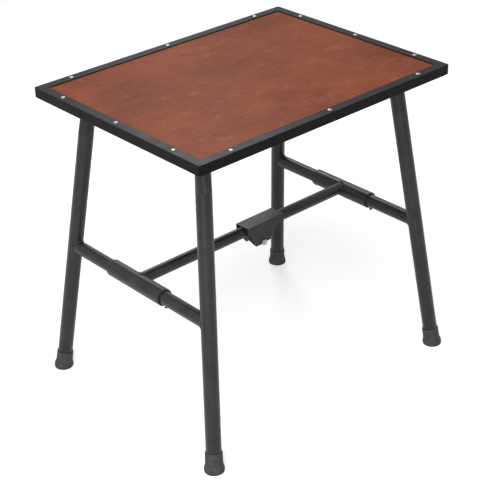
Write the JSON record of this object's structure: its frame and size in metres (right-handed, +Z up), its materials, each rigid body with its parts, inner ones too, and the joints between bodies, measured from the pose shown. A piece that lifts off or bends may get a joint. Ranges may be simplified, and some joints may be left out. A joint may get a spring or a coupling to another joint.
{
  "type": "folding workbench",
  "caption": "Rectangular plywood worktop in a riveted angle-iron frame on splayed tube legs, with a jointed brace that lets the leg pairs fold flat under the top.",
  "frame": {"origin": "on the floor under the middle of the top", "axes": "+X along the long side of the top, +Y along its short side, +Z up"},
  "size_m": [0.8356, 0.6574, 0.802],
  "materials": {
    "film_faced_plywood": "satin phenolic film",
    "black_paint": "satin",
    "rubber": "matte moulded",
    "zinc_plate": "bright zinc",
    "nylon": "moulded"
  },
  "bodies": {
    "top": {"back_rail": "black_paint", "back_rail_rivet_1": "zinc_plate", "back_rail_rivet_2": "zinc_plate", "back_rail_rivet_3": "zinc_plate", "front_rail": "black_paint", "front_rail_rivet_1": "zinc_plate", "front_rail_rivet_2": "zinc_plate", "front_rail_rivet_3": "zinc_plate", "left_back_hanger": "black_paint", "left_back_pivot_pin": "black_paint", "left_cross_rail": "black_paint", "left_front_hanger": "black_paint", "left_front_pivot_pin": "black_paint", "left_rail": "black_paint", "left_rail_rivet_1": "zinc_plate", "left_rail_rivet_2": "zinc_plate", "left_rail_rivet_3": "zinc_plate", "right_back_hanger": "black_paint", "right_back_pivot_pin": "black_paint", "right_cross_rail": "black_paint", "right_front_hanger": "black_paint", "right_front_pivot_pin": "black_paint", "right_rail": "black_paint", "right_rail_rivet_1": "zinc_plate", "right_rail_rivet_2": "zinc_plate", "right_rail_rivet_3": "zinc_plate", "top_panel": "film_faced_plywood"},
    "left_legs": {"left_back_bar_stub": "black_paint", "left_back_leg": "black_paint", "left_back_tip": "rubber", "left_front_bar_stub": "black_paint", "left_front_leg": "black_paint", "left_front_tip": "rubber"},
    "left_bar": {"left_back_stop_pin": "black_paint", "left_bush": "nylon", "left_cross_bar": "black_paint", "left_front_stop_pin": "black_paint"},
    "left_brace": {"knee_bolt": "zinc_plate", "knee_nut": "zinc_plate", "knee_plate_back": "black_paint", "knee_plate_front": "black_paint", "left_brace_tube": "black_paint", "left_sleeve": "black_paint"},
    "right_legs": {"right_back_bar_stub": "black_paint", "right_back_leg": "black_paint", "right_back_stop_pin": "black_paint", "right_back_tip": "rubber", "right_cross_bar": "black_paint", "right_front_bar_stub": "black_paint", "right_front_leg": "black_paint", "right_front_stop_pin": "black_paint", "right_front_tip": "rubber"},
    "right_brace": {"knee_channel": "black_paint", "right_brace_tube": "black_paint", "right_bush": "nylon", "right_sleeve": "black_paint"}
  },
  "joints": [
    {"name": "left_legs_fold", "type": "hinge", "parent": "top", "child": "left_legs", "pos_m": [-0.31844, 0, 0.696], "axis": [0, -1, 0], "range_deg": [0, 96.09]},
    {"name": "right_legs_fold", "type": "hinge", "parent": "top", "child": "right_legs", "pos_m": [0.31311, 0, 0.746], "axis": [0, 1, 0], "range_deg": [0, 96.09]},
    {"name": "left_bar_turn", "type": "hinge", "parent": "left_legs", "child": "left_bar", "pos_m": [-0.35312, 0, 0.371], "axis": [0, 1, 0], "range_deg": [0, 229.04]},
    {"name": "left_brace_drop", "type": "hinge", "parent": "left_bar", "child": "left_brace", "pos_m": [-0.35312, 0, 0.371], "axis": [0, 1, 0], "range_deg": [0, 45.01]},
    {"name": "right_brace_swing", "type": "hinge", "parent": "right_legs", "child": "right_brace", "pos_m": [0.35312, 0, 0.371], "axis": [0, -1, 0], "range_deg": [0, 96.1]}
  ],
  "couplings": [
    {"joint": "left_bar_turn", "follows": "left_legs_fold", "ratio": 2.3835},
    {"joint": "left_brace_drop", "follows": "right_legs_fold", "ratio": 0.46831},
    {"joint": "right_brace_swing", "follows": "right_legs_fold", "ratio": 1}
  ]
}
